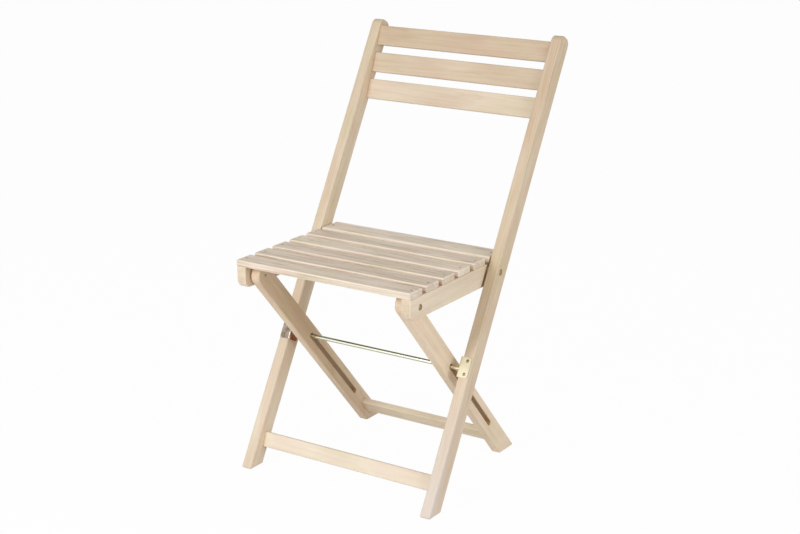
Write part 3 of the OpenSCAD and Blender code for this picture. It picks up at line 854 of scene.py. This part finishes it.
def bent_plate(name, side, material):
    """A strip of sheet with round corners, bent round the post's inner front arris."""
    shell = Shell()
    thick = plate_thick
    rim = plate_edge
    outward = Vector((side, 0, 0))
    middle = beside_rod(side * post_inner)
    turn_long = (plate_bend + thick / 2) * math.pi / 2
    total = front_leaf + turn_long + side_leaf
    rings = []
    for k in range(plate_steps + 1):
        run = total * k / plate_steps
        angle = min(max((run - front_leaf) / turn_long, 0), 1) * math.pi / 2
        into = -into_post * math.cos(angle) - outward * math.sin(angle)
        past_bend = max(run - front_leaf - turn_long, 0)
        base = middle + outward * max(front_leaf - run, 0) + into_post * (plate_bend + past_bend)
        gap = min(run, total - run)
        cut = 0
        if gap < plate_corner:
            cut = plate_corner - math.sqrt(plate_corner ** 2 - (plate_corner - gap) ** 2)
        high = plate_tall / 2 - cut
        thin = rim if gap == 0 else 0
        loop = [(-high + rim, thin, 0, -1), (high - rim, thin, 0, -1),
                (high, rim, 1, 0), (high, thick - rim, 1, 0),
                (high - rim, thick - thin, 0, 1), (-high + rim, thick - thin, 0, 1),
                (-high, thick - rim, -1, 0), (-high, rim, -1, 0)]
        rings.append(shell.ring([base + up_post * v + into * (plate_bend + t) for v, t, _, _ in loop],
                                [up_post * v + into * t for _, _, v, t in loop]))
    shell.join(rings)
    for ring, way in ((rings[0], outward), (rings[-1], into_post)):
        shell.fan(ring, sum((vert.co for vert in ring), Vector()) / len(ring), way)
    return shell.finish(name, material)


cream_zinc = plated("cream_zinc", colour(221, 215, 193), colour(213, 206, 180), rough=0.64, wear=0.15)
# The left bracket's side leaf is tinted orange-brown, as a painted reflection of the wood.
warm_leaf_reflection = (0, 4 * mm - post_inner, 0.8 * mm, 0.6, colour(196, 112, 66))
dull_zinc = plated("dull_zinc", colour(174, 160, 146), colour(118, 104, 92), rough=0.2, wear=0.4,
                   lines=[warm_leaf_reflection])
for side, node, look in ((-1, "left_rod_bracket", dull_zinc), (1, "right_rod_bracket", cream_zinc)):
    stands_for(bent_plate(node + "_plate", side, look), "back_frame", node)


# The screws: round heads with a cross in them, two in each bracket, a little duller than the
# plates. A dome's outline serves the heads of the screws and of the pins.
cross_arm = 1.9 * mm
cross_half = 0.42 * mm
cross_deep = 0.8 * mm
cross_slope = 0.25 * mm


def dome(radius, tall, steps=9):
    """Half the outline of a low dome, from its rim up to near its middle."""
    ball = (radius ** 2 + tall ** 2) / (2 * tall)
    widest = math.asin(radius / ball)
    points = []
    for angle in [widest * (1 - k / steps) for k in range(steps)]:
        out = math.sin(angle)
        up = math.cos(angle)
        points.append((ball * out, tall - ball * (1 - up), out, up))
    return points


def cross(x, y, along):
    """How far the driver's cross sinks the head at this place."""
    inside = min(cross_arm - max(abs(x), abs(y)), cross_half - min(abs(x), abs(y)))
    return -cross_deep * min(max(inside / cross_slope, 0), 1) if along > 0 else 0


screw_brass = plated("screw_brass", colour(176, 160, 124), colour(130, 114, 84), rough=0.35, wear=0.3)
screw_radius = 3.2 * mm
screw_apart = 13 * mm
screw_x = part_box("bracket_screws")[1].x - screw_radius
screw_profile = [(screw_radius * 0.9, -0.02 * mm, 0, -1)] + dome(screw_radius, 1.6 * mm, 16)
screws = []
for side in (-1, 1):
    middle = beside_rod(side * screw_x) - into_post * plate_thick
    for k in (-1, 1):
        twist = Matrix.Rotation(0.5 * side + 0.4 * k, 4, "Z")
        spot = middle + up_post * k * screw_apart
        screws.append(axes(x_way, up_post, -into_post, spot) @ twist)
stands_for(turned("screws", screw_profile, screws, screw_brass, cross), "back_frame", "bracket_screws")


# The pivot pins: a steel pin on each side at the seat's hinge and at the legs' hinge. Each
# has a domed head in its bore, just below the wood's face, and a riveted inner end.
def both_sides(x, at):
    """Places on both sides of the chair whose third axis points outwards."""
    return [axes(y_way, z_way * side, x_way * side, (side * x, at.y, at.z)) for side in (-1, 1)]


pin_steel = plated("pin_steel", colour(204, 188, 162), colour(158, 142, 116), rough=0.3, wear=0.3)
pin_radius = 3 * mm
head_sunk = 0.4 * mm
head = dome(4.4 * mm, 1.5 * mm)
rivet = dome(3.7 * mm, 1.1 * mm)
for node, body, at, inner in (("seat_pivot_pins", "back_frame", seat_pin, "right_seat_rail"),
                              ("leg_pivot_pins", "seat", leg_pin, "right_leg")):
    inner_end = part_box(inner)[0].x - 0.1 * mm
    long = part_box(node)[1].x - head_sunk - inner_end
    profile = [(radius, -along, out, -up) for radius, along, out, up in reversed(rivet)]
    profile += [(pin_radius + 0.05 * mm, 0.05 * mm, 0, 1), (pin_radius, 0.1 * mm, 1, 0),
                (pin_radius, long, 1, 0)]
    profile += [(radius, along + long, out, up) for radius, along, out, up in head]
    stands_for(turned(node + "_turned", profile, both_sides(inner_end, at), pin_steel), body, node)


# The washers: a plain steel ring on each pin, between the two boards that turn on each other.
# They keep the wood from rubbing, and their edges are a little broken.
steel = plated("steel", colour(236, 226, 202), colour(200, 186, 158), rough=0.35, wear=0.3)
bore = 3.1 * mm
rim = 9 * mm
bevel = 0.3 * mm
for node, body, at, inner in (("seat_pivot_washers", "back_frame", seat_pin, "right_seat_rail"),
                              ("leg_pivot_washers", "seat", leg_pin, "right_leg")):
    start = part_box(inner)[1].x + 0.1 * mm
    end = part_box(node)[1].x - start
    profile = [(bore, bevel, -1, 0), (bore + bevel, 0, 0, -1),
               (rim - bevel, 0, 0, -1), (rim, bevel, 1, 0),
               (rim, end - bevel, 1, 0), (rim - bevel, end, 0, 1),
               (bore + bevel, end, 0, 1), (bore, end - bevel, -1, 0)]
    stands_for(turned(node + "_turned", profile, both_sides(start, at), steel, hollow=True), body, node)


# The slat nails: steel nails with flat heads, two through each slat into the rails. Their
# heads are dulled by the wood's finish.
nail_steel = plated("nail_steel", colour(150, 138, 120), colour(112, 98, 82), rough=0.5, wear=0.2)
nail_low, nail_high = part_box("slat_nails")
nail_top = nail_high.z
nail_long = nail_top - nail_low.z
shank = 1.1 * mm
nail_head = 2.5 * mm
nail_profile = [(0.3 * mm, -nail_long, 0, -1), (shank, 2 * mm - nail_long, 1, 0),
                (shank, -1.2 * mm, 1, 0), (2.3 * mm, -1.15 * mm, 0, -1),
                (nail_head, -0.9 * mm, 1, 0), (nail_head, -0.25 * mm, 1, 0),
                (2.2 * mm, 0, 0.3, 0.95), (0.6 * mm, 0, 0, 1)]
nail = turned("nail", nail_profile, [Matrix()], nail_steel, around=24)
nail_spots = [(side * nail_x, middle_of(node).y, nail_top) for node in slat_nodes for side in (-1, 1)]
stands_for(copies("nails", nail, nail_spots, nail_steel, seed=3), "seat", "slat_nails")
